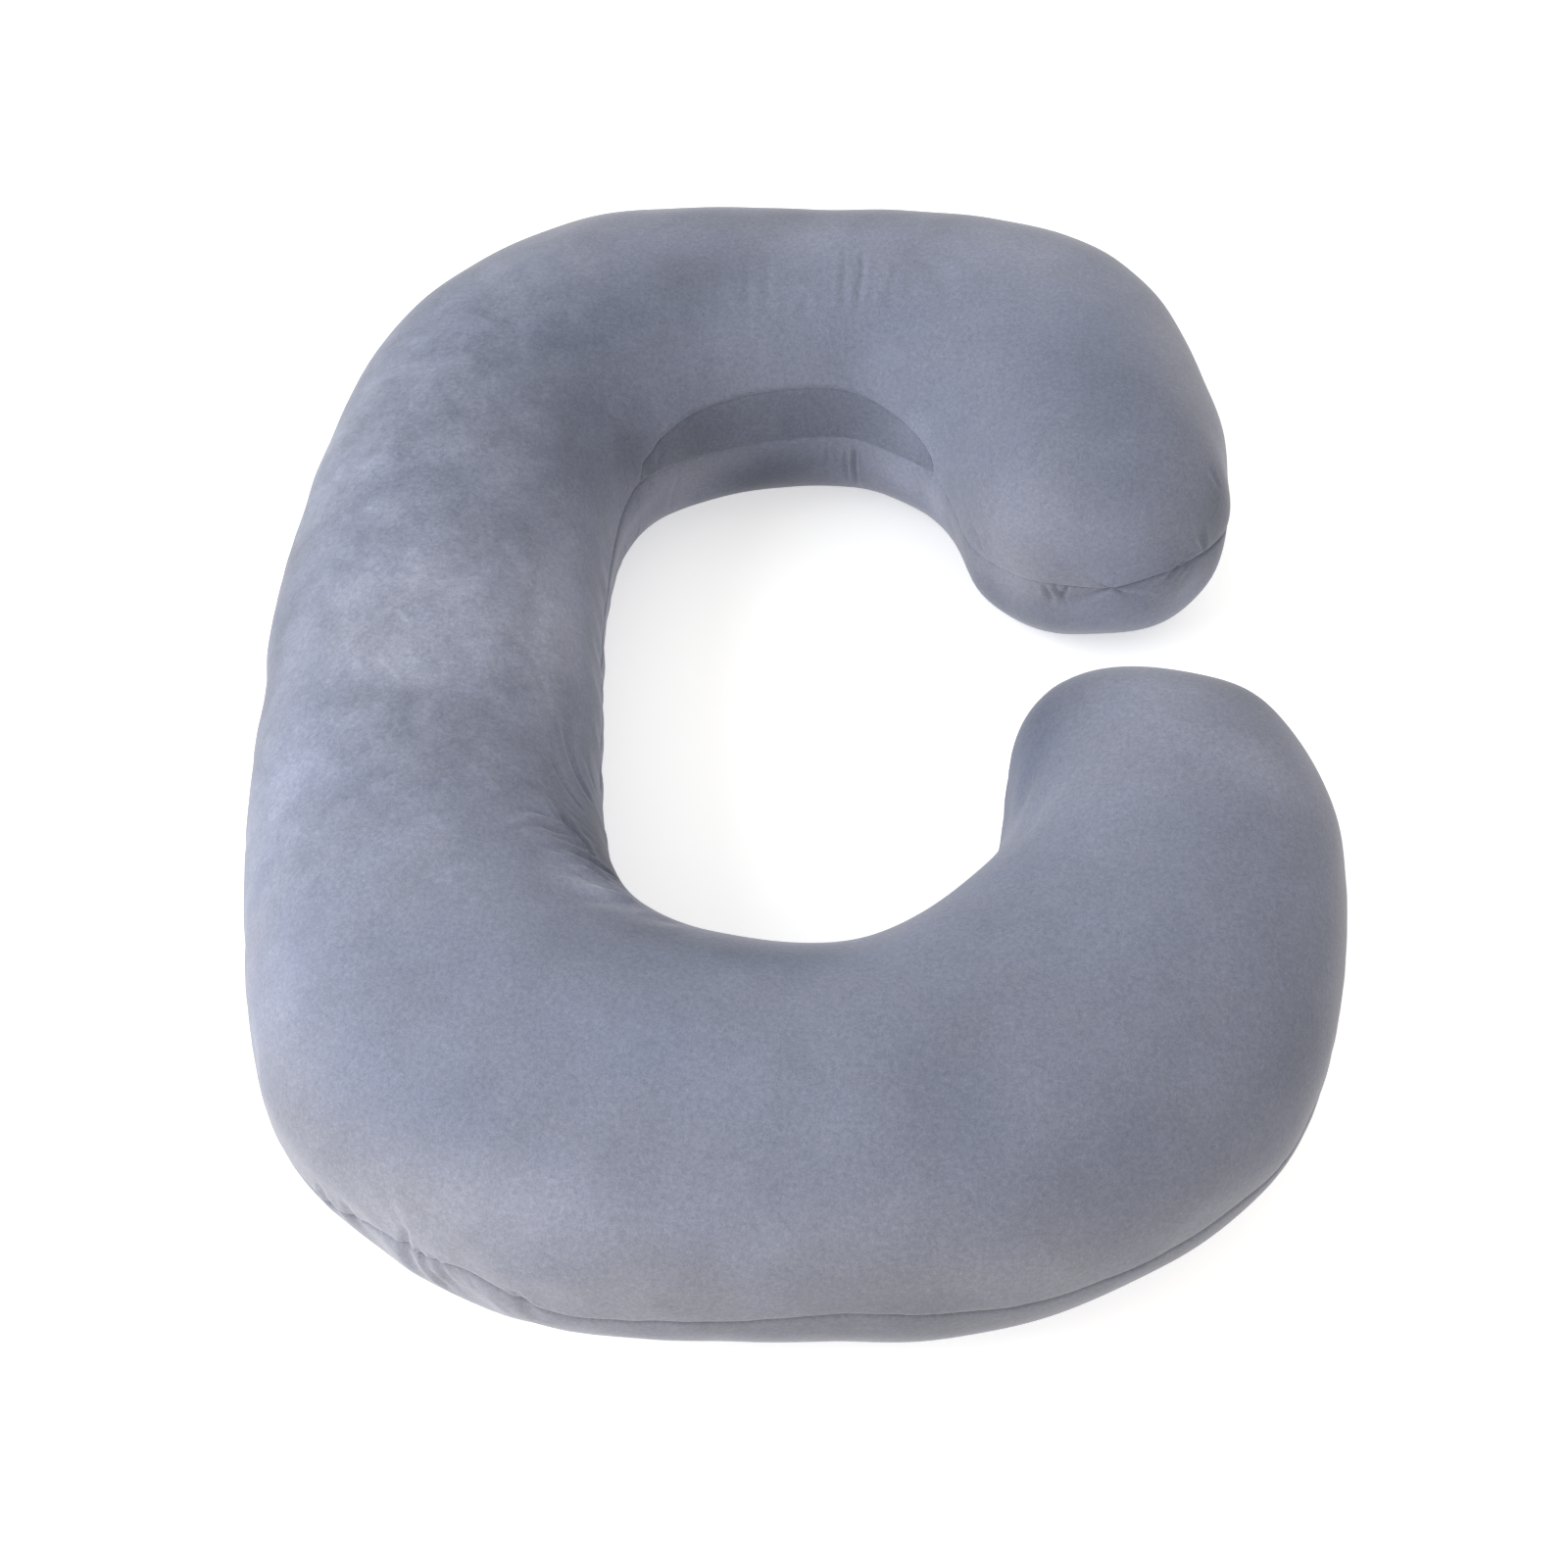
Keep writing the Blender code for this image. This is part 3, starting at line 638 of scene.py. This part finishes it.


# the nap: how light the brushed pile lies, patch by patch, and where it is crushed; the tone patches also
# carry painted shade and painted light, a coarse copy of the shading
nap = {
    "patches": [
        # x, y, reach one way and the other, turn in degrees, tone in doublings of brightness; partly the nap's
        # own lighter and darker patches, partly painted shade and painted light
        (-0.130, 0.305, 0.090, 0.055, 40, -0.42),  # head side
        (-0.075, 0.365, 0.060, 0.030, 20, -0.22),
        (-0.225, 0.235, 0.060, 0.035, 50, -0.22),
        (0.170, 0.400, 0.085, 0.050, -10, 0.36),
        (0.060, 0.400, 0.040, 0.050, 0, 0.12),
        (0.295, 0.300, 0.035, 0.110, 5, 0.22),
        (0.245, 0.190, 0.070, 0.060, 0, -0.14),
        (0.185, 0.125, 0.060, 0.022, -25, 0.50),
        (0.346, 0.170, 0.018, 0.034, 0, -0.24),
        (-0.215, 0.450, 0.080, 0.032, 30, -0.34),
        (-0.290, 0.375, 0.050, 0.024, 45, -0.32),
        (-0.340, 0.270, 0.030, 0.050, 0, -0.18),
        (0.020, 0.460, 0.090, 0.014, 0, -0.22),
        (-0.165, 0.020, 0.026, 0.120, 0, 0.42),  # back
        (-0.250, -0.050, 0.055, 0.045, 20, 0.42),
        (-0.290, 0.020, 0.040, 0.028, 30, 0.30),
        (-0.345, 0.010, 0.024, 0.060, 0, 0.22),
        (-0.350, -0.165, 0.028, 0.040, 0, 0.30),
        (-0.245, -0.125, 0.034, 0.024, -20, -0.24),
        (-0.320, 0.150, 0.026, 0.020, 30, 0.16),
        (-0.275, 0.120, 0.030, 0.020, -20, -0.16),
        (-0.310, -0.100, 0.024, 0.018, 20, -0.14),
        (-0.125, -0.230, 0.030, 0.022, 35, 0.34),
        (-0.388, 0.050, 0.012, 0.200, 0, -0.26),
        (-0.030, -0.300, 0.080, 0.026, 0, -0.29),  # leg side
        (-0.330, -0.350, 0.022, 0.070, 20, 0.22),
        (-0.180, -0.480, 0.110, 0.024, -12, 0.36),
        (-0.190, -0.415, 0.040, 0.024, 0, -0.12),
        (-0.040, -0.420, 0.060, 0.060, 0, 0.10),
        (0.100, -0.420, 0.035, 0.080, -15, -0.12),
        (0.160, -0.430, 0.030, 0.040, 0, 0.08),
        (0.050, -0.522, 0.100, 0.012, 0, -0.30),
        (0.185, -0.070, 0.030, 0.034, 0, -0.50),  # leg arm
        (0.172, -0.115, 0.016, 0.040, 0, -0.24),
        (0.175, -0.170, 0.030, 0.026, 0, 0.18),
        (0.380, -0.220, 0.018, 0.070, 0, -0.26),
        (0.330, -0.160, 0.040, 0.026, -30, 0.36),
        (0.265, -0.085, 0.050, 0.026, -10, 0.20),
        (0.326, -0.072, 0.050, 0.022, -30, -0.26),
        # the fan of folds: painted shade along the folds' valleys and painted light on their ridges
        (-0.138, -0.206, 0.036, 0.014, -52, -0.34),  # the fan of folds
        (-0.128, -0.252, 0.034, 0.011, -20, 0.30),
        (-0.160, -0.085, 0.008, 0.045, 0, -0.24),
        (-0.086, -0.288, 0.028, 0.010, -12, -0.20),
        (-0.035, -0.308, 0.016, 0.008, -5, -0.16),
        (-0.165, 0.165, 0.022, 0.050, -20, -0.38),
        (-0.290, 0.360, 0.024, 0.040, 0, -0.16),
        (0.050, 0.370, 0.014, 0.060, -10, -0.12),
        (-0.384, -0.020, 0.016, 0.190, 0, -0.22),
        (-0.178, -0.030, 0.022, 0.100, 0, 0.16),
        (-0.310, -0.130, 0.040, 0.030, 0, 0.12),
        (-0.230, -0.400, 0.120, 0.050, -20, 0.08),
        (0.348, 0.150, 0.018, 0.030, -20, -0.20),
        (0.000, -0.308, 0.040, 0.016, 0, -0.16),
        (0.262, 0.112, 0.036, 0.014, 0, 0.24),
        (-0.223, 0.275, 0.040, 0.030, 0, -0.12),
        (-0.158, 0.240, 0.030, 0.030, 0, -0.10),
        (0.030, 0.446, 0.120, 0.022, 0, -0.30),
        (-0.374, 0.050, 0.018, 0.070, 0, -0.18),
        (-0.290, 0.005, 0.034, 0.030, 0, 0.12),
        (-0.218, 0.015, 0.030, 0.034, 0, 0.15),
        (-0.355, -0.230, 0.024, 0.050, 0, 0.12),
        (0.249, -0.110, 0.050, 0.040, 0, 0.12),
        (0.200, 0.340, 0.060, 0.060, 0, 0.14),
        (0.020, 0.405, 0.030, 0.030, 0, 0.12),
        (-0.178, 0.178, 0.026, 0.040, -25, -0.16),
        (-0.110, -0.238, 0.024, 0.020, 30, 0.22),
        (0.190, -0.462, 0.090, 0.028, 18, -0.16),
        (0.090, -0.440, 0.060, 0.050, 0, -0.08),
        (-0.340, 0.290, 0.020, 0.070, -30, -0.12),
        (0.260, -0.160, 0.060, 0.060, 0, 0.07),
        (0.325, 0.240, 0.030, 0.060, 0, 0.08),
        (-0.225, 0.010, 0.050, 0.050, 0, 0.09),
        (-0.261, -0.262, 0.050, 0.050, 0, 0.08),
        (-0.355, 0.170, 0.030, 0.030, 0, -0.10),
        (-0.325, -0.395, 0.050, 0.030, -50, -0.10),
        (0.245, 0.215, 0.040, 0.040, 0, -0.07),
        (-0.150, -0.290, 0.030, 0.030, 0, 0.08),
    ],
    "wallNapAndShadePatches": [
        # (along, angle) middle, reach along the tube and in degrees, tone; mostly painted shade on walls under
        # the seam and the gusset, in the fan's corner and at the arm ends, with some painted light
        ((0.510, -20), (0.090, 14), -0.85),  # under the gusset
        ((0.470, -8), (0.070, 9), -0.30),
        ((0.500, -36), (0.120, 12), -0.70),
        ((0.185, -10), (0.045, 16), 0.40),
        ((0.275, -7), (0.060, 11), 0.40),
        ((0.660, -8), (0.045, 11), 0.14),
        ((0.270, 13), (0.060, 9), 0.26),  # on the gusset
        ((0.600, 12), (0.070, 12), -0.26),
        ((0.745, 22), (0.050, 14), -0.40),  # beside it
        ((1.620, 191), (0.180, 12), -0.48),  # front, under the seam
        ((1.475, 190), (0.045, 12), 0.24),
        ((1.840, 192), (0.090, 12), -0.24),
        ((1.050, 15), (0.200, 12), -0.42),  # inner wall of the back
        ((1.300, 20), (0.080, 16), -1.10),
        ((1.875, 160), (0.110, 26), -0.46),  # outside of the leg arm
        ((0.026, 176), (0.026, 20), -0.30),  # head arm's end
        ((0.046, 158), (0.028, 22), -0.36),
        ((0.006, -18), (0.016, 20), -0.16),
    ],
    "napAndLightTintPatches": [
        # as above, with how much bluer or, below nothing, greyer; partly the nap's own tinge, partly a painted
        # tint of cool light on the upper left and warm light low down
        (-0.280, 0.370, 0.060, 0.050, 45, 0.22),
        (0.000, -0.310, 0.090, 0.022, 0, 0.34),
        (0.255, 0.250, 0.040, 0.060, 0, 0.26),
        (-0.290, -0.010, 0.070, 0.080, 0, -0.20),
        (-0.172, -0.030, 0.020, 0.060, 0, -0.26),
        (0.230, -0.150, 0.100, 0.060, 0, -0.16),
        (0.320, 0.220, 0.030, 0.120, 0, -0.18),
        (-0.050, 0.430, 0.150, 0.030, 0, -0.12),
        (0.170, -0.090, 0.020, 0.050, 0, 0.45),
        (0.225, 0.280, 0.040, 0.060, 0, 0.18),
        (0.335, 0.300, 0.030, 0.080, 0, -0.16),
        (-0.200, 0.290, 0.060, 0.040, 0, 0.16),
        (-0.060, -0.400, 0.080, 0.050, 0, 0.12),
        (-0.220, -0.460, 0.080, 0.022, -20, -0.20),
    ],
    "paintedBounceTintPatches": [
        # painted tint of warm light bounced from the floor: the lower walls greyer
        ((1.620, 182), (0.260, 34), -0.50),
        ((1.400, 180), (0.070, 26), -0.30),
        ((1.960, 180), (0.130, 34), -0.30),
        ((1.340, 165), (0.080, 30), -0.20),
        ((0.030, 0), (0.100, 40), -0.34),
        ((0.640, -4), (0.200, 24), -0.30),
    ],
    "crushedPatches": [
        (-0.29, 0.10, 0.13, 0.24, 0, 1.0),
        (-0.30, -0.16, 0.16, 0.12, 30, 0.5),
        (-0.24, 0.30, 0.12, 0.10, 40, 0.5),
    ],
}


def patched(points, patches):
    total = np.zeros(len(points))
    for x, y, reach, sideReach, turn, tone in patches:
        cosTurn, sinTurn = math.cos(math.radians(turn)), math.sin(math.radians(turn))
        fromX, fromY = points[:, 0] - x, points[:, 1] - y
        along = (fromX * cosTurn + fromY * sinTurn) / reach
        side = (fromY * cosTurn - fromX * sinTurn) / sideReach
        total += tone * np.exp(-(along**2) - side**2)
    return total


def brushNapAndPaintShade(piece, along, angle):
    places = np.empty(len(piece.data.vertices) * 3)
    piece.data.vertices.foreach_get("co", places)
    places = places.reshape(-1, 3)
    above = smoothStep((places[:, 2] - 0.03) / 0.06)
    # tone: the nap's own lighter and darker patches together with painted shade and painted light
    tone = patched(places, nap["patches"]) * above + placedSum(along, angle, nap["wallNapAndShadePatches"])
    crushed = np.clip(patched(places, nap["crushedPatches"]) * above, 0, 1)
    # blue: the nap's own tinges with painted tints of cool and warm light
    blue = patched(places, nap["napAndLightTintPatches"]) * above + placedSum(along, angle, nap["paintedBounceTintPatches"])
    for name, values in (("napAndPaintedShadeTone", tone), ("napAndPaintedLightTint", blue), ("crushed", crushed)):
        layer = piece.data.attributes.new(name, "FLOAT", "POINT")
        layer.data.foreach_set("value", values.astype(np.float32))


panels = {
    "rows": 654,
    "headRows": 72,
    "legRows": 36,
    # place, reach and extra density
    "rowCrowds": [(1.27, 0.14, 1.5), (0.40, 0.05, 0.8), (1.43, 0.05, 0.8), (0.205, 0.02, 2), (0.74, 0.02, 2)],
    "topColumns": 128,
    "topCrowds": [(0, 0.010, 12), (1, 0.010, 12), (0.23, 0.12, 1)],  # in shares of the panel's width
    "bottomColumns": 74,
    "bottomCrowds": [(0, 0.006, 30), (0, 0.06, 3), (1, 0.006, 30), (1, 0.06, 3)],
}


def skinPiece(name, alongRows, low, high, columns, crowds, ends=(0, tubeLength)):
    # a piece of the cover from one edge to another, closed on one point at each end
    angle = low[:, None] + (high - low)[:, None] * crowdedPlaces(columns, 0, 1, crowds)
    along = np.repeat(alongRows[:, None], columns, axis=1)
    points = dressed(along, angle)
    ends = np.array(ends)
    if ends[0] > 0:
        endAngles = innerSeam(ends)
        tips = dressed(ends, endAngles)
    else:
        # between the ends of the nearest row, where the two panels meet
        endAngles = np.array([180.0, 180.0])
        tips = (points[[0, -1], 0] + points[[0, -1], -1]) / 2
    count = along.size
    last = count - columns
    tipFaces = [(count, j + 1, j) for j in range(columns - 1)]
    tipFaces += [(count + 1, last + j, last + j + 1) for j in range(columns - 1)]
    piece = meshPiece(name, np.concatenate([points.reshape(-1, 3), tips]), gridFaces(*along.shape), tipFaces)
    brushNapAndPaintShade(piece, np.append(along, ends), np.append(angle, endAngles))
    return piece


# every piece has the same rows, so all meet point to point along their seams
rows = rowPlaces(panels["rows"], panels["headRows"], panels["legRows"], panels["rowCrowds"])
print("top panel")
topPanel = skinPiece(
    "topPanel", rows, gussetTop(rows), outerSeam(rows), panels["topColumns"], panels["topCrowds"])
print("bottom panel")
bottomPanel = skinPiece(
    "bottomPanel", rows, outerSeam(rows), underInnerSeam(rows),
    panels["bottomColumns"], panels["bottomCrowds"])
print("crescent gusset")
inside = np.nonzero((rows > gusset["start"]) & (rows < gusset["end"]))[0]
arched = rows[inside]
crescentGusset = skinPiece(
    "crescentGusset", arched, innerSeam(arched), gussetTop(arched), gusset["columns"], gusset["crowds"],
    rows[[inside[0] - 1, inside[-1] + 1]])

plush = {
    "middle": (0.185, 0.201, 0.266),
    "warmth": (1.03, 1.0, 0.965),  # how each doubling of brightness shifts the colour
    "grey": (1.0, 0.950, 0.860),  # the nap's faint tinges, and the painted tint of warm bounced light
    "between": (0.965, 0.965, 0.965),
    "cool": (0.900, 0.950, 1.0),
    "sheen": (0.92, 0.90, 0.90),
    "sheenWeight": 0.34,
    "sheenRoughness": 0.42,
}


def plushColour(tone):
    # the cover's colour where the nap lies this many doublings lighter than usual
    return tuple(part * 2**tone * shift**tone for part, shift in zip(plush["middle"], plush["warmth"]))


def plushMaterial(name, shift=0.0):
    material = bpy.data.materials.new(name)
    material.use_nodes = True
    nodes, links = material.node_tree.nodes, material.node_tree.links
    shader = nodes["Principled BSDF"]
    shader.inputs["Roughness"].default_value = 0.92
    shader.inputs["Specular IOR Level"].default_value = 0.15
    shader.inputs["Sheen Weight"].default_value = plush["sheenWeight"]
    shader.inputs["Sheen Roughness"].default_value = plush["sheenRoughness"]
    shader.inputs["Sheen Tint"].default_value = (*plush["sheen"], 1)
    where = nodes.new("ShaderNodeTexCoord").outputs["Object"]

    def brushed(turn, size):
        # coordinates for noise drawn out along one direction, seen from above
        node = nodes.new("ShaderNodeMapping")
        node.vector_type = "TEXTURE"
        node.inputs["Rotation"].default_value = (0, 0, math.radians(turn))
        node.inputs["Scale"].default_value = size
        links.new(where, node.inputs["Vector"])
        return node.outputs["Vector"]

    def noise(place, scale, detail, roughness, distortion=0.0):
        node = nodes.new("ShaderNodeTexNoise")
        node.inputs["Scale"].default_value = scale
        node.inputs["Detail"].default_value = detail
        node.inputs["Roughness"].default_value = roughness
        node.inputs["Distortion"].default_value = distortion
        links.new(place, node.inputs["Vector"])
        return node.outputs["Fac"]

    def attribute(attributeName):
        node = nodes.new("ShaderNodeAttribute")
        node.attribute_name = attributeName
        return node.outputs["Fac"]

    def combine(operation, *values):
        node = nodes.new("ShaderNodeMath")
        node.operation = operation
        for socket, value in zip(node.inputs, values):
            if isinstance(value, (int, float)):
                socket.default_value = value
            else:
                links.new(value, socket)
        return node.outputs[0]

    def ramp(value, stops):
        node = nodes.new("ShaderNodeValToRGB")
        spots = node.color_ramp.elements
        spots[0].position, spots[0].color = stops[0][0], (*stops[0][1], 1)
        spots[1].position, spots[1].color = stops[-1][0], (*stops[-1][1], 1)
        for place, colour in stops[1:-1]:
            spots.new(place).color = (*colour, 1)
        links.new(value, node.inputs["Fac"])
        return node.outputs["Color"]

    clouds = noise(where, 7.0, 4.0, 0.5, 0.4)
    blotches = noise(where, 30.0, 3.0, 0.55, 0.5)
    streaks = noise(brushed(55, (0.050, 0.014, 0.030)), 1.0, 3.0, 0.55, 0.6)
    crumbs = noise(where, 125.0, 2.0, 0.55, 1.2)
    grain = noise(where, 300.0, 2.0, 0.55)
    pile = noise(where, 800.0, 2.0, 0.6)
    marks = combine("MULTIPLY_ADD", combine("SUBTRACT", streaks, 0.5), 0.22, combine("SUBTRACT", crumbs, 0.5))
    marks = combine("MULTIPLY_ADD", combine("SUBTRACT", blotches, 0.5), 0.60, combine("MULTIPLY", marks, 0.34))
    marks = combine("MULTIPLY", marks, combine("MULTIPLY_ADD", attribute("crushed"), 0.80, 0.20))
    # the nap's tone, with the painted shade and painted light that its patches carry
    tone = combine("MULTIPLY_ADD", attribute("napAndPaintedShadeTone"), 0.5, 0.5 + shift)
    tone = combine("ADD", tone, marks)
    tone = combine("MULTIPLY_ADD", combine("SUBTRACT", clouds, 0.5), 0.22, tone)
    tone = combine("MULTIPLY_ADD", combine("SUBTRACT", grain, 0.5), 0.34, tone)
    tone = combine("MULTIPLY_ADD", combine("SUBTRACT", pile, 0.5), 0.42, tone)
    stops = [(0.5 + doublings / 2, plushColour(doublings)) for doublings in (-1.0, -0.6, -0.2, 0.2, 0.6, 1.0)]
    # the nap's own tinges, with the painted tints of cool and warm light that the tint patches carry
    tinge = combine("MULTIPLY_ADD", noise(where, 13.0, 3.0, 0.6, 0.3), 0.6, attribute("napAndPaintedLightTint"))
    tinges = [(0.0, plush["grey"]), (0.5, plush["between"]), (1.0, plush["cool"])]
    tinge = ramp(combine("ADD", tinge, 0.2), tinges)
    tinted = nodes.new("ShaderNodeMix")
    tinted.data_type = "RGBA"
    tinted.blend_type = "MULTIPLY"
    tinted.inputs["Factor"].default_value = 1
    links.new(ramp(tone, stops), tinted.inputs["A"])
    links.new(tinge, tinted.inputs["B"])
    links.new(tinted.outputs["Result"], shader.inputs["Base Color"])
    bump = nodes.new("ShaderNodeBump")
    bump.inputs["Strength"].default_value = 0.4
    bump.inputs["Distance"].default_value = 0.0008
    links.new(combine("MULTIPLY_ADD", pile, 0.45, combine("MULTIPLY", grain, 0.8)), bump.inputs["Height"])
    links.new(bump.outputs["Normal"], shader.inputs["Normal"])
    return material


coverMaterial = plushMaterial("plushCover")
gussetMaterial = plushMaterial("plushGusset", -0.20)
topPanel.data.materials.append(coverMaterial)
bottomPanel.data.materials.append(coverMaterial)
crescentGusset.data.materials.append(gussetMaterial)

for piece, node, slot in (
    (topPanel, "pillow_body", "plush_cover"),
    (bottomPanel, "pillow_body", "plush_cover"),
    (crescentGusset, "crescent_gusset", "gusset_cloth"),
):
    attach(piece, "root")
    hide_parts(node)

studio = {
    "floorSize": 12.0,
    "floorColour": (0.90, 0.90, 0.89),
    "floorGlow": 0.45,  # keeps the paper pale where the pillow shades it
    "aim": (-0.0025, -0.0905, 0.1),
    "elevation": 51.0,
    "distance": 1.7867,
    "fieldOfView": 36.0,
    "room": 0.79,
    "roomColour": (1.0, 0.985, 0.96),
    "key": {"place": (-2.1, -0.45, 1.40), "size": 2.2, "power": 63, "colour": (0.92, 0.96, 1.0)},
    "fill": {"place": (0.3, -2.4, 1.3), "size": 2.2, "power": 14, "colour": (1.0, 0.88, 0.72)},
}


def makeFloor():
    half = studio["floorSize"] / 2
    mesh = bpy.data.meshes.new("floor")
    corners = [(-half, -half, 0), (half, -half, 0), (half, half, 0), (-half, half, 0)]
    mesh.from_pydata(corners, [], [(0, 1, 2, 3)])
    floor = bpy.data.objects.new("floor", mesh)
    bpy.context.scene.collection.objects.link(floor)
    paper = bpy.data.materials.new("paleFloor")
    paper.use_nodes = True
    shader = paper.node_tree.nodes["Principled BSDF"]
    shader.inputs["Base Color"].default_value = (*studio["floorColour"], 1)
    shader.inputs["Roughness"].default_value = 0.9
    shader.inputs["Emission Color"].default_value = (1, 1, 1, 1)
    shader.inputs["Emission Strength"].default_value = studio["floorGlow"]
    mesh.materials.append(paper)


def areaLight(name, lamp):
    data = bpy.data.lights.new(name, "AREA")
    data.shape = "DISK"
    data.size = lamp["size"]
    data.energy = lamp["power"]
    data.color = lamp["colour"]
    light = bpy.data.objects.new(name, data)
    light.location = lamp["place"]
    toPillow = Vector((0, 0, 0.1)) - Vector(lamp["place"])
    light.rotation_euler = toPillow.to_track_quat("-Z", "Y").to_euler()
    bpy.context.scene.collection.objects.link(light)


def makeCamera():
    tilt = math.radians(studio["elevation"])
    aim = Vector(studio["aim"])
    data = bpy.data.cameras.new("camera")
    data.sensor_width = 36
    data.angle = math.radians(studio["fieldOfView"])
    camera = bpy.data.objects.new("camera", data)
    camera.location = aim + studio["distance"] * Vector((0, -math.cos(tilt), math.sin(tilt)))
    camera.rotation_euler = (aim - camera.location).to_track_quat("-Z", "Y").to_euler()
    bpy.context.scene.collection.objects.link(camera)
    bpy.context.scene.camera = camera


print("studio")
makeFloor()
areaLight("keyLight", studio["key"])
areaLight("fillLight", studio["fill"])
makeCamera()
room = bpy.data.worlds.new("softRoom")
bpy.context.scene.world = room
room.use_nodes = True
room.node_tree.nodes["Background"].inputs["Color"].default_value = (*studio["roomColour"], 1)
room.node_tree.nodes["Background"].inputs["Strength"].default_value = studio["room"]
bpy.context.scene.view_settings.view_transform = "Standard"
